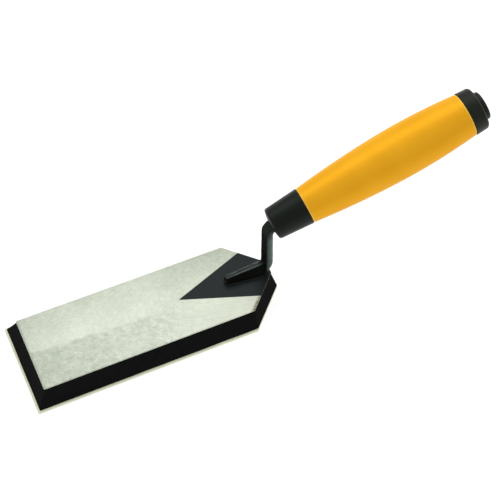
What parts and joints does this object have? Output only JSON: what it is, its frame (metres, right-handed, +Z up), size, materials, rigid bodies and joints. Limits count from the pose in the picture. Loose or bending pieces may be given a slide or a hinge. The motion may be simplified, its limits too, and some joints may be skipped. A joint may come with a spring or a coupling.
{
  "type": "margin float",
  "caption": "Narrow margin float: a flat steel trowel blade with a tapered heel on a bevelled foam-rubber pad, with a cranked tang and a barrel handle.",
  "frame": {"origin": "centre of the working face, on the surface the float is worked on", "axes": "+X from the toe of the blade towards the handle, +Y across the blade, +Z up, away from the surface"},
  "size_m": [0.2987, 0.0632, 0.1093],
  "materials": {
    "gum_rubber": "matt, smooth",
    "contact_cement": "matt",
    "foam_rubber": "matt, fine closed cells",
    "blade_steel": "ground in two passes that meet in a line near the middle",
    "heel_lacquer": "satin",
    "tang_lacquer": "gloss over forged steel",
    "weld_lacquer": "gloss over a rough bead",
    "black_plastic": "satin",
    "core_plastic": "as moulded",
    "yellow_plastic": "satin"
  },
  "bodies": {
    "root": {"gum_face": "gum_rubber", "face_cement": "contact_cement", "foam_pad": "foam_rubber", "pad_cement": "contact_cement", "blade": "blade_steel", "heel_lacquer": "heel_lacquer", "tang": "tang_lacquer", "welds": "weld_lacquer", "collar": "black_plastic", "handle_core": "core_plastic", "grip_shell": "yellow_plastic", "end_cap": "black_plastic", "end_button": "black_plastic"}
  },
  "joints": []
}
